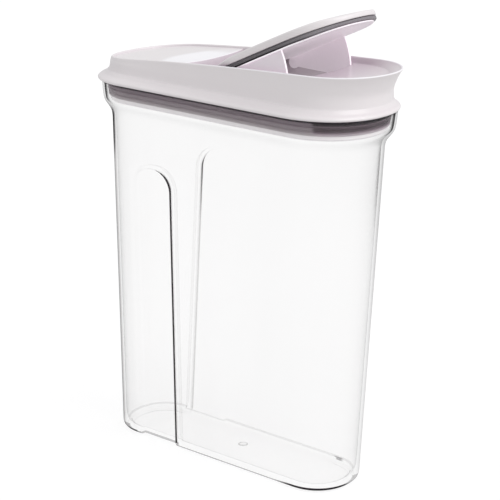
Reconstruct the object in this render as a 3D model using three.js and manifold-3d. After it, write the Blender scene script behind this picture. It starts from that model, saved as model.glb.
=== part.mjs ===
// Tall narrow food canister with a pouring lid.
// Millimetres, +Z up, +X towards the pouring end (front), origin at the centre of the base.
// A clear tapered body with two grip channels carries a plug lid: shell, frame and perimeter seal.
// A rocking flap (cover, seal, chute with two sector cheeks) turns on two short pins
// in the walls of the lid's pocket.
import * as THREE from 'three';
import { mergeVertices } from 'three/addons/utils/BufferGeometryUtils.js';
import { ParametricGeometry } from 'three/addons/geometries/ParametricGeometry.js';
import Module from 'manifold-3d';

const wasm = await Module();
wasm.setup();

const DEGREE = Math.PI / 180;
const SIDES = [1, -1];         // left (+Y) and right (-Y)

const mix = (from, to, t) => from + (to - from) * t;
const clamp01 = (t) => Math.min(1, Math.max(0, t));
const smooth = (t) => t * t * (3 - 2 * t);

// ---------------------------------------------------------------- plans
// A plan is a long outline with straight sides and rounded ends: the x of its front and rear
// tips, its half-width, and the length in x of each rounded end.
const plan = (front, rear, halfWidth, frontEnd, rearEnd) => (
  { front, rear, halfWidth, frontEnd, rearEnd });

const ROUNDNESS = 2.15;        // superellipse exponent of the rounded ends
const END_STEPS = 16;
const SIDE_STEPS = 8;

const shrink = (shape, inset) => plan(
  shape.front - inset, shape.rear + inset, shape.halfWidth - inset,
  shape.frontEnd - inset, shape.rearEnd - inset);

// Points [x, y] round a plan, anticlockwise from the front end of its right side.
function outline(shape, inset = 0, sideSteps = SIDE_STEPS) {
  const { front, rear, halfWidth, frontEnd, rearEnd } = shrink(shape, inset);
  const frontStart = front - frontEnd;
  const rearStart = rear + rearEnd;
  const points = [];
  const bend = (v) => Math.sign(v) * Math.abs(v) ** (2 / ROUNDNESS);
  function addEnd(start, length, firstAngle) {
    for (let i = 0; i <= END_STEPS; i++) {
      const angle = firstAngle + Math.PI * i / END_STEPS;
      points.push([start + length * bend(Math.cos(angle)), halfWidth * bend(Math.sin(angle))]);
    }
  }
  function addSide(from, to, y) {
    for (let i = 1; i < sideSteps; i++) points.push([mix(from, to, i / sideSteps), y]);
  }
  addEnd(frontStart, frontEnd, -Math.PI / 2);
  addSide(frontStart, rearStart, halfWidth);
  addEnd(rearStart, rearEnd, Math.PI / 2);
  addSide(rearStart, frontStart, -halfWidth);
  return points;
}

function halfWidthAt(shape, x) {
  const rearStart = shape.rear + shape.rearEnd;
  const frontStart = shape.front - shape.frontEnd;
  let t = 0;
  if (x < rearStart) t = (rearStart - x) / shape.rearEnd;
  else if (x > frontStart) t = (x - frontStart) / shape.frontEnd;
  return shape.halfWidth * Math.max(0, 1 - Math.min(1, t) ** ROUNDNESS) ** (1 / ROUNDNESS);
}

// Loft sections on a plan: at one height, or at a height that follows x.
const flatLevel = (shape, inset, z) => outline(shape, inset, 1).map(([x, y]) => [x, y, z]);
const archLevel = (shape, zAt, inset = 0) => (
  outline(shape, inset).map(([x, y]) => [x, y, zAt(x)]));

// ---------------------------------------------------------------- solids
// Welds a geometry, drops collapsed triangles and turns it outwards if it is inside out.
function solid(source) {
  source.deleteAttribute('normal');
  source.deleteAttribute('uv');
  const welded = mergeVertices(source, 1e-4);
  const index = welded.index.array;
  const position = welded.attributes.position.array;
  const corner = (i) => new THREE.Vector3().fromArray(position, i * 3);
  const triangles = [];
  let volume = 0;
  for (let i = 0; i < index.length; i += 3) {
    const [a, b, c] = index.slice(i, i + 3);
    if (a === b || b === c || a === c) continue;
    triangles.push(a, b, c);
    volume += corner(a).dot(corner(b).cross(corner(c)));
  }
  if (volume < 0) {
    for (let i = 0; i < triangles.length; i += 3) {
      [triangles[i + 1], triangles[i + 2]] = [triangles[i + 2], triangles[i + 1]];
    }
  }
  return new wasm.Manifold(new wasm.Mesh({
    numProp: 3,
    vertProperties: new Float32Array(position),
    triVerts: new Uint32Array(triangles),
  }));
}

const minus = (first, ...rest) => rest.reduce((sum, part) => sum.subtract(part), first);
const plus = (first, ...rest) => rest.reduce((sum, part) => sum.add(part), first);

function nearest(points, x, y) {
  let best = 0;
  let bestDistance = Infinity;
  points.forEach((point, i) => {
    const distance = (point.x - x) ** 2 + (point.y - y) ** 2;
    if (distance < bestDistance) {
      bestDistance = distance;
      best = i;
    }
  });
  return best;
}

// Joins sections of [x, y, z] points, all with the same count, by moving the vertices of an
// extrusion of the middle one. The two axes are those the sections are flattened onto.
function loft(sections, axisA = 0, axisB = 1) {
  const steps = sections.length - 1;
  const middle = sections[Math.floor(sections.length / 2)];
  const flat = middle.map((point) => new THREE.Vector2(point[axisA], point[axisB]));
  const geometry = new THREE.ExtrudeGeometry(
    new THREE.Shape(flat), { depth: steps, steps, bevelEnabled: false });
  const position = geometry.attributes.position;
  for (let i = 0; i < position.count; i++) {
    const section = sections[Math.round(position.getZ(i))];
    position.setXYZ(i, ...section[nearest(flat, position.getX(i), position.getY(i))]);
  }
  return solid(geometry);
}

// Loft along the length; section(x) gives [y, z] points.
const loftAlongX = (stations, section) => (
  loft(stations.map((x) => section(x).map(([y, z]) => [x, y, z])), 1, 2));

// A closed ring swept round a plan; profile points are [inset, z].
function ring(shape, profile) {
  const rings = profile.map(([inset, z]) => archLevel(shape, () => z, inset));
  const around = rings[0].length;
  const across = profile.length;
  return solid(new ParametricGeometry((u, v, target) => {
    const i = Math.round(u * around) % around;
    const j = Math.round(v * across) % across;
    target.set(...rings[j][i]);
  }, around, across));
}

// Box centred on y = 0.
function box(x0, x1, halfY, z0, z1) {
  const geometry = new THREE.BoxGeometry(x1 - x0, 2 * halfY, z1 - z0);
  geometry.translate((x0 + x1) / 2, 0, (z0 + z1) / 2);
  return solid(geometry);
}

// Everything between two x positions, for cutting a piece to length.
const slab = (x0, x1) => box(x0, x1, 60, -10, 340);
const FAR_X = 140;             // clear of both ends

// Extrudes a shape drawn in x and z sideways, starting at y = startY(z) on the given side.
function extrudeSideways(shape, depth, side, startY) {
  const geometry = new THREE.ExtrudeGeometry(
    shape, { depth, bevelEnabled: false, curveSegments: 10 });
  const position = geometry.attributes.position;
  for (let i = 0; i < position.count; i++) {
    const z = position.getY(i);
    position.setXYZ(i, position.getX(i), side * (startY(z) + position.getZ(i)), z);
  }
  return solid(geometry);
}

// ---------------------------------------------------------------- clear body
const WALL = 2.5;
const FOOT = 1.5;              // height of the floor's underside above the table
const FLOOR = FOOT + WALL;
const BODY_TOP = 277.3;
const DRAFT_REF = 258;         // height at which UPPER is quoted
const BASE = plan(103.5, -107.3, 31.7, 30.1, 30.1);
const UPPER = plan(111.7, -111.4, 43.4, 42.1, 34.2);
const COLLAR_GROW = plan(5.7, -6.3, 4.7, 6.0, 7.9);

// [z, share of COLLAR_GROW]
const COLLAR = [
  [252, 0], [256, 0.06], [259, 0.18], [262, 0.38],
  [265, 0.6], [268, 0.76], [271, 0.86], [BODY_TOP, 1],
];
// [z, inset] of the outer and inner surfaces
const OUTER_LEVELS = [
  [FOOT, 4.4], [FOOT + 0.9, 1.7], [FOOT + 2.8, 0.4], [8, 0], [90, 0], [180, 0],
  ...COLLAR.map(([z]) => [z, 0]),
];
const INNER_LEVELS = [
  [FLOOR, 8.2], [FLOOR + 0.9, 5.4], [FLOOR + 3.0, 3.6], [11.5, 2.7],
  [16, WALL], [90, WALL], [180, WALL],
  ...COLLAR.slice(0, -1).map(([z]) => [z, WALL]),
  [BODY_TOP + 2, WALL],
];

const GRIP = {
  rear: -73.4,
  front: -37.8,
  bottom: -6,                  // below the table, so the channel opens at the base
  top: 218,                    // crown of the arch
  cornerRadius: 15.5,
  depth: 5.6,
  cutDepth: 16,
};

const PAD_FRONT_X = 70;        // the front pad lies ahead of this
const PAD_REAR_X = -78;        // the rear pad lies behind this
const PAD_LEVELS = [[4.6, 0], [4.0, 0.5], [3.6, FOOT + 0.6]];   // [inset, z]
const PAD_INNER_INSET = 9.4;
const MARK = { topRadius: 3.2, bottomRadius: 3.8, height: 0.9, x: 3.5, z: FLOOR + 0.15 };

function bodyPlan(z) {
  let share = 0;
  for (let i = 0; i + 1 < COLLAR.length; i++) {
    const [z0, share0] = COLLAR[i];
    const [z1, share1] = COLLAR[i + 1];
    if (z >= z0) share = mix(share0, share1, Math.min(1, (z - z0) / (z1 - z0)));
  }
  const result = {};
  for (const key of Object.keys(BASE)) {
    result[key] = mix(BASE[key], UPPER[key], z / DRAFT_REF) + share * COLLAR_GROW[key];
  }
  return result;
}

const bodySurface = (levels) => loft(
  levels.map(([z, inset]) => flatLevel(bodyPlan(Math.min(z, BODY_TOP)), inset, z)));

// The channel floor keeps one depth below the drafted wall.
function gripCutter(side, grow) {
  const rear = GRIP.rear - grow;
  const front = GRIP.front + grow;
  const radius = GRIP.cornerRadius + grow;
  const top = GRIP.top + grow;
  const arch = new THREE.Shape();
  arch.moveTo(rear, GRIP.bottom);
  arch.lineTo(front, GRIP.bottom);
  arch.lineTo(front, top - radius);
  arch.absarc(front - radius, top - radius, radius, 0, Math.PI / 2, false);
  arch.lineTo(rear + radius, top);
  arch.absarc(rear + radius, top - radius, radius, Math.PI / 2, Math.PI, false);
  arch.lineTo(rear, GRIP.bottom);
  const floorY = (z) => (
    mix(BASE.halfWidth, UPPER.halfWidth, z / DRAFT_REF) - GRIP.depth - grow);
  return extrudeSideways(arch, GRIP.cutDepth, side, floorY);
}

// Low crescents under each end of the base.
function makePads() {
  const padRing = minus(
    loft(PAD_LEVELS.map(([inset, z]) => flatLevel(BASE, inset, z))),
    loft([-1, FOOT].map((z) => flatLevel(BASE, PAD_INNER_INSET, z))),
  );
  return [slab(PAD_FRONT_X, FAR_X), slab(-FAR_X, PAD_REAR_X)].map((end) => padRing.intersect(end));
}

// Low round moulding mark near the middle of the floor.
function makeMark() {
  const mark = new THREE.CylinderGeometry(MARK.topRadius, MARK.bottomRadius, MARK.height, 24);
  mark.rotateX(Math.PI / 2);
  mark.translate(MARK.x, 0, MARK.z);
  return solid(mark);
}

function makeBody() {
  const outer = minus(bodySurface(OUTER_LEVELS), ...SIDES.map((side) => gripCutter(side, 0)));
  const inner = minus(bodySurface(INNER_LEVELS), ...SIDES.map((side) => gripCutter(side, WALL)));
  return plus(minus(outer, inner), ...makePads(), makeMark());
}

// ---------------------------------------------------------------- hinge
const HINGE_X = 14.8;
const HINGE_Z = 296;
const PIN_RADIUS = 1.6;
const PIN_HOLE_RADIUS = 1.9;
const PIN_INNER_Y = 34.6;
const PIN_OUTER_Y = 40.4;
const OPEN_ANGLE = 22.5 * DEGREE;   // how far the flap stands open

// Cylinder on the hinge line between two distances from the middle, on one side.
function hingeCylinder(radius, innerY, outerY, side) {
  const geometry = new THREE.CylinderGeometry(radius, radius, outerY - innerY, 24);
  geometry.translate(HINGE_X, side * (innerY + outerY) / 2, HINGE_Z);
  return solid(geometry);
}

const makePin = (side) => hingeCylinder(PIN_RADIUS, PIN_INNER_Y, PIN_OUTER_Y, side);

// ---------------------------------------------------------------- lid shell
const LID_Z = 277.8;           // lower edge of the lid shell
const LID = plan(119.5, -119.5, 50.5, 50.5, 43.9);
const rimZ = (x) => 303.0 + 0.0665 * x - 0.00018 * x * x;   // arched top edge of the lid
const rimHeight = (x) => rimZ(x) - LID_Z;
const shoulderZ = (x) => LID_Z + 12.2 + 0.12 * (rimHeight(x) - 16);

// Front, rear, half-width, front end, rear end, height at x
const SHELL_LEVELS = [
  [118.9, -118.9, 49.9, LID.frontEnd, LID.rearEnd, () => LID_Z],
  [119.8, -120.2, 50.8, LID.frontEnd, LID.rearEnd, () => LID_Z + 1.5],
  [120.2, -120.6, 51.0, LID.frontEnd, LID.rearEnd, () => LID_Z + 3.2],
  [119.1, -119.3, 50.1, 49.8, 43.2, () => LID_Z + 5.0],
  [117.4, -117.6, 47.8, 47.6, 41.6, () => LID_Z + 7.0],
  [116.1, -116.2, 45.2, 45.0, 40.2, () => LID_Z + 9.3],
  [115.4, -115.2, 43.3, 43.2, 39.0, shoulderZ],
  [116.2, -114.7, 42.4, 42.4, 38.2, (x) => mix(shoulderZ(x), rimZ(x), 0.5)],
  [118.6, -114.5, 42.1, 42.0, 38.0, (x) => mix(shoulderZ(x), rimZ(x), 0.8)],
  [120.6, -114.4, 42.0, 42.0, 38.0, (x) => rimZ(x) - 0.7],
  [120.2, -113.9, 41.5, 41.5, 37.5, rimZ],
];
// Cavity under the deck, open at the bottom; same columns.
const CEILING = 8.7;           // depth of the cavity's ceiling below the rim
const CAVITY_LEVELS = [
  [117.2, -117.2, 48.2, 48.2, 41.6, () => LID_Z - 2],
  [117.4, -117.4, 48.4, 48.4, 41.8, () => LID_Z + 2.6],
  [116.0, -116.0, 46.4, 46.4, 40.2, (x) => LID_Z + Math.min(4.6, rimHeight(x) - CEILING - 1.6)],
  [113.8, -113.8, 43.0, 43.0, 37.8, (x) => LID_Z + Math.min(7.4, rimHeight(x) - CEILING - 0.8)],
  [112.6, -112.2, 40.2, 40.2, 36.2, (x) => rimZ(x) - CEILING],
];
// Recess inside the rim where the flap seats; same columns.
const SEAT_DEPTH = 4.7;
const SEAT = plan(113.2, -112.2, 39.9, 39.9, 35.8);
const SEAT_LEVELS = [
  [...Object.values(SEAT), (x) => rimZ(x) - SEAT_DEPTH],
  [115.8, -112.2, 39.9, 39.9, 35.8, (x) => rimZ(x) - SEAT_DEPTH * 0.45],
  [119.0, -112.7, 40.3, 40.3, 35.8, (x) => rimZ(x) - SEAT_DEPTH * 0.03],
  [119.2, -112.8, 40.4, 40.4, 35.8, (x) => rimZ(x) + 6],
];
const REAR_DECK_DEPTH = 1.6;

const POCKET_X0 = -35;         // rear wall of the flap pocket
const POCKET_X1 = 66.1;        // rear edge of the pouring floor
const POCKET_Y = 38.4;         // half-width of the pocket
const POCKET_FLOOR = 271.5;    // floor under the thumb end of the flap
const POCKET_CUT_TOP = 330;    // clear above the lid
const NECK_WALL = 2.0;         // pocket walls
const NECK_Z = 269.5;          // underside of the pocket walls
const NECK_TOP = 299;
// Cross wall between the thumb pocket and the pouring opening
const BAR_X0 = 4.5;
const BAR_X1 = 6.5;
const BAR_TOP = 294;

// Concave floors: the thumb scoop of the rear deck and the trough of the pouring floor.
const DISH = plan(112.6, -111.6, 39.3, 39.3, 35.2);
const DISH_STEPS = 10;         // across the width
const SCOOP = {
  stations: [-108, -104, -98, -90, -80, -70, -60, -50, -42, -34.5],
  edgeDepth: 1.5,
  dip: (x) => 4.4 * clamp01((x + 108) / 60) ** 1.3,   // full depth 60 ahead of the first station
};
const TROUGH = {
  stations: [64, 70, 78, 86, 94, 101, 107, 110.5],
  edgeDepth: 4.6,
  dip: (x) => mix(1.9, 0.3, clamp01((x - POCKET_X1) / 42)),
};

const loftLevels = (levels) => loft(
  levels.map((row) => archLevel(plan(...row.slice(0, 5)), row[5])));

function dishCutter({ stations, edgeDepth, dip }) {
  return loftAlongX(stations, (x) => {
    const halfWidth = halfWidthAt(DISH, x);
    const points = [];
    for (let i = 0; i <= DISH_STEPS; i++) {
      const t = -1 + 2 * i / DISH_STEPS;
      points.push([halfWidth * t, rimZ(x) - edgeDepth - dip(x) * (1 - t * t)]);
    }
    points.push([halfWidth, rimZ(x) + 2], [-halfWidth, rimZ(x) + 2]);
    return points;
  });
}

const neckBlock = (top) => box(
  POCKET_X0 - NECK_WALL, POCKET_X1 + NECK_WALL, POCKET_Y + NECK_WALL, NECK_Z, top);

function makeShell() {
  const hollow = minus(loftLevels(CAVITY_LEVELS), neckBlock(NECK_TOP));
  // The pocket walls hang below the lid's lower edge, inside the plug frame.
  const hangingWalls = minus(
    neckBlock(LID_Z + 1),
    box(POCKET_X0, POCKET_X1, POCKET_Y, POCKET_FLOOR, LID_Z + 4),
  );
  // The seat is full depth ahead of the pocket's rear wall; the deck behind is shallower.
  const rearDeck = loft([
    archLevel(SEAT, (x) => rimZ(x) - REAR_DECK_DEPTH),
    archLevel(SEAT, (x) => rimZ(x) + 6, -0.5),
  ]);
  const seatFront = loftLevels(SEAT_LEVELS).intersect(slab(POCKET_X0, FAR_X));
  return minus(
    plus(minus(loftLevels(SHELL_LEVELS), hollow), hangingWalls),
    rearDeck,
    seatFront,
    dishCutter(SCOOP),
    dishCutter(TROUGH),
    // Pocket: the thumb side keeps a floor, the pouring side goes right through.
    box(POCKET_X0, BAR_X0, POCKET_Y, POCKET_FLOOR, POCKET_CUT_TOP),
    box(BAR_X1, POCKET_X1, POCKET_Y, NECK_Z - 5, POCKET_CUT_TOP),
    box(BAR_X0 - 1, BAR_X1 + 1, POCKET_Y, BAR_TOP, POCKET_CUT_TOP),
    ...SIDES.map((side) => (
      hingeCylinder(PIN_HOLE_RADIUS, POCKET_Y - 2, PIN_OUTER_Y + 0.3, side))),
  );
}

// ---------------------------------------------------------------- plug frame and its seal
// [inset from LID, z]
const FRAME_PROFILE = [
  [9.7, 262], [8.3, 262], [7.5, 265.5], [7.5, 277.6], [2.7, 277.6], [2.7, 279.4], [9.7, 279.4],
];
const SEAL_PROFILE = [
  [7.2, 266], [6.7, 266], [6.4, 267.2], [6.95, 268.2], [6.95, 270.4], [5.9, 270.9], [5.7, 272],
  [6.95, 272.9], [6.95, 274.6], [5.0, 275.1], [4.6, 276.6], [5.2, 277.3], [7.2, 277.3],
];

// ---------------------------------------------------------------- flap, drawn shut
// The rear end of this plan lies far behind the flap, so only its front is rounded.
const FLAP = plan(112.0, -200, 39.2, 39.2, 1);
const FLAP_X0 = 14;            // rear edge of the flap seal
const FLAP_STATIONS = [
  20, 34, 48, 60, 70, 78, 85, 91, 96, 100.5, 104.3, 107.4, 109.7, 111.2, 111.9,
];
const THUMB_X0 = -33;          // rear edge of the thumb end of the cover
const THUMB_Y = 37.7;          // half-width of the thumb end
const COVER_BEND_X = 26;       // the top runs down behind this
const COVER_EDGE = 0.9;        // bevel along the top edges
const COVER_STEPS = 8;         // across the top

const CHEEK_INNER_Y = 35.6;
const CHEEK_OUTER_Y = 37.4;
const CHEEK_RADIUS = 50.7;
const CHEEK_DEPTH = 3.6;       // top edge of the cheeks below the rim line
const CHEEK_LOW_ANGLE = -26.5 * DEGREE;   // lower corner
const EYE_RADIUS = 4.4;
const EYE_START = 129.6 * DEGREE;
const EYE_END = 300.6 * DEGREE;

// Cover: nearly flat over the pouring side, running down to a concave thumb end.
function makeCover() {
  const stations = [
    THUMB_X0, -28, -20, -10, 0, 8, FLAP_X0 - 0.1, FLAP_X0, ...FLAP_STATIONS,
  ];
  return loftAlongX(stations, (x) => {
    const halfWidth = x < FLAP_X0 ? THUMB_Y : halfWidthAt(FLAP, x);
    const topBlend = smooth(clamp01((COVER_BEND_X - x) / (COVER_BEND_X - THUMB_X0)));
    const lowBlend = smooth(clamp01((FLAP_X0 - x) / (FLAP_X0 - THUMB_X0)));
    const bottom = mix(rimZ(x) + 0.6, rimZ(x) - 9.0, lowBlend);
    // Crowned over the pouring side, hollow at the thumb end; t runs from -1 to 1 across.
    const top = (t) => mix(
      rimZ(x) + 5.4 - 0.5 * t * t, rimZ(x) - 1.6 - 3.9 * (1 - t * t), topBlend);
    const topHalfWidth = halfWidth - Math.min(COVER_EDGE, halfWidth * 0.3);
    const points = [[-halfWidth, bottom], [halfWidth, bottom], [halfWidth, top(1) - COVER_EDGE]];
    for (let i = 0; i <= COVER_STEPS; i++) {
      const t = 1 - 2 * i / COVER_STEPS;
      points.push([t * topHalfWidth, top(t)]);
    }
    points.push([-halfWidth, top(1) - COVER_EDGE]);
    return points;
  });
}

// Plate on the inset flap plan, from x0 forward, between two heights relative to the rim line.
function plate(x0, inset, low, high) {
  const shape = shrink(FLAP, inset);
  const stations = [
    x0,
    ...FLAP_STATIONS.filter((x) => x > x0 + 2 && x < shape.front - 1.2),
    shape.front - 0.9,
    shape.front - 0.12,
  ];
  return loftAlongX(stations, (x) => {
    const halfWidth = halfWidthAt(shape, x);
    const bottom = rimZ(x) + low;
    const top = rimZ(x) + high;
    return [[-halfWidth, bottom], [halfWidth, bottom], [halfWidth, top], [-halfWidth, top]];
  });
}

const makeFlapSeal = () => minus(
  plate(FLAP_X0, 0, -2.7, 0.3),
  plate(FLAP_X0 + 6, 6.2, -3.5, 1.2),
);

// Sector cheek with an eye round the pin.
function makeCheek(side) {
  const topZ = (x) => rimZ(x) - CHEEK_DEPTH;
  const shape = new THREE.Shape();
  function addArc(radius, from, to, steps) {
    for (let i = 0; i <= steps; i++) {
      const angle = mix(from, to, i / steps);
      shape.lineTo(HINGE_X + radius * Math.cos(angle), HINGE_Z + radius * Math.sin(angle));
    }
  }
  shape.moveTo(HINGE_X - 0.2, topZ(HINGE_X));
  addArc(EYE_RADIUS, EYE_START, EYE_END, 12);
  const highAngle = Math.asin((topZ(60) - HINGE_Z) / CHEEK_RADIUS);
  addArc(CHEEK_RADIUS, CHEEK_LOW_ANGLE, highAngle, 14);
  shape.lineTo(40, topZ(40));
  return extrudeSideways(shape, CHEEK_OUTER_Y - CHEEK_INNER_Y, side, () => CHEEK_INNER_Y);
}

// Chute: lip plate, raised island inside the seal, and two cheeks bored for the pins.
function makeChute() {
  const lip = plate(FLAP_X0 + 0.6, 0.5, -4.2, -3.0);
  const island = plate(FLAP_X0 + 6.6, 6.6, -3.6, 0.3);
  return minus(
    plus(lip, island, ...SIDES.map(makeCheek)),
    ...SIDES.map((side) => (
      hingeCylinder(PIN_HOLE_RADIUS, CHEEK_INNER_Y - 2, CHEEK_OUTER_Y + 2, side))),
  );
}

// ---------------------------------------------------------------- materials
const WHITE = 0xe9e4e3;
const GREY = 0x6d6068;
const MATERIALS = {
  clear: { color: 0xe9edee, roughness: 0.08, transparent: true, opacity: 0.3 },
  shell: { color: WHITE, roughness: 0.35 },
  frame: { color: 0xeeeaea, roughness: 0.4 },
  lidSeal: { color: GREY, roughness: 0.55 },
  pin: { color: 0xd8d6d6, roughness: 0.3 },
  cover: { color: WHITE, roughness: 0.3 },
  flapSeal: { color: GREY, roughness: 0.5 },
  chute: { color: 0xe4dfe0, roughness: 0.35 },
};

// ---------------------------------------------------------------- assembly
function addPiece(parent, name, manifold, look) {
  const { vertProperties, triVerts } = manifold.getMesh();
  const geometry = new THREE.BufferGeometry();
  geometry.setAttribute(
    'position', new THREE.BufferAttribute(new Float32Array(vertProperties), 3));
  geometry.setIndex(new THREE.BufferAttribute(new Uint32Array(triVerts), 1));
  geometry.computeVertexNormals();
  const material = new THREE.MeshStandardMaterial({ metalness: 0, ...look });
  const mesh = new THREE.Mesh(geometry, material);
  mesh.name = name;
  parent.add(mesh);
}

const group = new THREE.Group();
const lid = new THREE.Group();
const flap = new THREE.Group();
group.add(lid);
lid.add(flap);

addPiece(group, 'canister_body', makeBody(), MATERIALS.clear);
addPiece(lid, 'lid_shell', makeShell(), MATERIALS.shell);
addPiece(lid, 'lid_frame', ring(LID, FRAME_PROFILE), MATERIALS.frame);
addPiece(lid, 'lid_seal', ring(LID, SEAL_PROFILE), MATERIALS.lidSeal);
addPiece(lid, 'hinge_pin_left', makePin(1), MATERIALS.pin);
addPiece(lid, 'hinge_pin_right', makePin(-1), MATERIALS.pin);
addPiece(flap, 'flap_cover', makeCover(), MATERIALS.cover);
addPiece(flap, 'flap_seal', makeFlapSeal(), MATERIALS.flapSeal);
addPiece(flap, 'flap_chute', makeChute(), MATERIALS.chute);

// Put the flap's origin on the hinge line and turn it open.
for (const mesh of flap.children) mesh.geometry.translate(-HINGE_X, 0, -HINGE_Z);
flap.position.set(HINGE_X, 0, HINGE_Z);
flap.rotation.y = -OPEN_ANGLE;

export default group;
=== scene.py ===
# A tall clear food canister with a white pouring lid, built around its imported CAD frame.
# X runs along the canister with the pouring end at +X, Z is up, and the camera looks from -Y.
# Shapes are drawn in millimetres in the frame's axes and scaled to metres when meshes are made.
import math
from typing import NamedTuple

import bmesh
import bpy
import numpy as np
from mathutils import Matrix, Vector


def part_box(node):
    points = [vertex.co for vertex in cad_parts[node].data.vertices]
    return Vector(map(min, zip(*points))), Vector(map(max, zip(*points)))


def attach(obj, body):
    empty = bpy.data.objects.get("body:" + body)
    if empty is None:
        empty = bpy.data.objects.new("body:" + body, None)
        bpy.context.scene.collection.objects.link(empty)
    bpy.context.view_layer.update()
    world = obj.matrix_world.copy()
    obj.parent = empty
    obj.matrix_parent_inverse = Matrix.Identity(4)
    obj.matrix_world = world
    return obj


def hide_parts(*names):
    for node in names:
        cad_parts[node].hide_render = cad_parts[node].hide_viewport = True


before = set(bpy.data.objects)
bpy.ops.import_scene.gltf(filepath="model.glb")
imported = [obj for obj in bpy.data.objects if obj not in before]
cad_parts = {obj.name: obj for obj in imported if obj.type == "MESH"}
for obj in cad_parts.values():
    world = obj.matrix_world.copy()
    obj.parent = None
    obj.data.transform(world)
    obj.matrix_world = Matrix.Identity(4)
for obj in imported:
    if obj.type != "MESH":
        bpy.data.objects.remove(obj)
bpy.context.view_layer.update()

MM = 0.001


class Outline(NamedTuple):
    """Straight sides between two rounded ends, seen from above."""
    half: float         # half width
    front: float        # x of the front tip
    rear: float         # x of the rear tip
    front_end: float    # length of the rounded front end
    rear_end: float     # length of the rounded rear end

    def inset(self, depth):
        return Outline(self.half - depth, self.front - depth, self.rear + depth,
                       self.front_end - depth, self.rear_end - depth)


# ------------------------------------------------------------------ driving dimensions
END_POWER = 2.15                    # superellipse power of all rounded ends

# Body
WALL = 2.5
FOOT = 0.6                          # height of the two end pads under the base
FLOOR_TOP = 4.0
BODY_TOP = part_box("canister_body")[1].z / MM
DRAFT_REF = 258.0                   # height at which the drafted body has the UPPER outline
BASE = Outline(31.7, 103.5, -107.3, 30.1, 30.1)
UPPER = Outline(43.4, 111.7, -111.4, 42.1, 34.2)
COLLAR_GROW = Outline(6.0, 7.7, -8.3, 8.0, 9.9)     # added to the outline by the full collar
# Collar: height, share of COLLAR_GROW reached
COLLAR = [
    (0, 0), (250, 0), (252, 0.02), (254, 0.06), (256, 0.16), (259, 0.42), (261, 0.62),
    (262.5, 0.76), (264, 0.85), (266, 0.90), (269, 0.94), (272, 0.965), (277.3, 1),
]
PAD_FRONT_X, PAD_REAR_X = 70.0, -78.0               # inner ends of the base pads

# Grip channel in each side: straight below, arched at the top
GRIP_X0, GRIP_X1, GRIP_TOP, GRIP_DEPTH, GRIP_R = -73.4, -37.8, 218.0, 5.6, 15.5
GRIP_X = (GRIP_X0 + GRIP_X1) / 2
GRIP_FLAT = (GRIP_X1 - GRIP_X0) / 2 - GRIP_R        # half the flat between the arch's quarters
GRIP_SPRING = GRIP_TOP - GRIP_R                     # height where the arch starts
GRIP_LIP_R, GRIP_FLOOR_R = 1.2, 1.9                 # roundings at the channel's lip and floor

# Lid
LID = Outline(50.5, 119.5, -119.5, 50.5, 43.9)
LID_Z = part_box("lid_shell")[0].z / MM + 8.3         # lower edge of the skirt
CEILING = 8.7                                       # lid ceiling below the rim line
POCKET_X0, POCKET_X1, POCKET_Y = -35.0, 66.1, 38.4
POCKET_FLOOR, NECK_WALL, NECK_Z = 271.5, 2.0, 269.5
BAR_X0, BAR_X1, BAR_TOP = 4.5, 6.5, 294.0

# Flap
HINGE_X, HINGE_Z = 14.8, 296.0
PIN_R = 1.6
PIN_START_Y = 36.3                  # the pins show only outside this distance
OPEN_DEG = 22.5
FLAP_FRONT, FLAP_HALF, FLAP_REAR = 112.0, 39.2, 14.0
CORNER_R = 1.0                      # rear corners of the flap's plates
COVER_REAR, COVER_REAR_HALF = -33.0, 37.7
COVER_EDGE_R = 1.5
PLATE_REAR, PLATE_FRONT = FLAP_REAR + 0.1, FLAP_FRONT - 2.6
CHEEK_Y0, CHEEK_Y1, CHEEK_R, CHEEK_LOW_DEG = 35.6, 37.4, 50.7, -26.5
CHEEK_HUB_R, CHEEK_EDGE_R = 4.4, 0.55
CHEEK_DROP = 3.6                    # cheek tops below the rim line

# Mesh densities
LID_SEGMENTS, BODY_SEGMENTS, FLAP_SEGMENTS = 60, 56, 56     # on each rounded end
SIDE_STEPS, CHANNEL_STEPS = 7, 8    # body side ahead of the channel, across the channel floor
DECK_RINGS = 26
MERGE_DISTANCE = 0.0008
# x of the points along the lid's straight sides
SIDE_X = [
    64, 58, 50, 42, 34, 26, 18, 10, 2, -6, -14, -22,
    -28, -32, -34.2, -35, -35.6, -38, -43, -50, -58, -66, -71.5,
]


def rim(x):
    """Height of the lid's gently curved rim line."""
    return 303.0 + 0.0665 * x - 0.00018 * x * x


def mix(a, b, t):
    return a + (b - a) * t


def clamp01(t):
    return min(1.0, max(0.0, t))


def smooth(t):
    t = clamp01(t)
    return t * t * (3 - 2 * t)


def pchip(stations, rows):
    """A smooth curve through rows of values that doesn't overshoot between them."""
    xs, ys = np.asarray(stations, float), np.asarray(rows, float)
    gaps = np.diff(xs)
    secants = np.diff(ys, axis=0) / gaps[:, None]
    slopes = np.zeros_like(ys)
    slopes[0], slopes[-1] = secants[0], secants[-1]
    a, b = secants[:-1], secants[1:]
    same = a * b > 0
    slopes[1:-1] = np.where(same, 2 * a * b / np.where(same, a + b, 1.0), 0.0)

    def curve(x):
        i = min(max(int(np.searchsorted(xs, x, side="right")) - 1, 0), len(xs) - 2)
        t = clamp01((x - xs[i]) / gaps[i])
        return ((2 * t**3 - 3 * t**2 + 1) * ys[i] + (t**3 - 2 * t**2 + t) * gaps[i] * slopes[i]
                + (-2 * t**3 + 3 * t**2) * ys[i + 1] + (t**3 - t**2) * gaps[i] * slopes[i + 1])

    return curve


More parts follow.
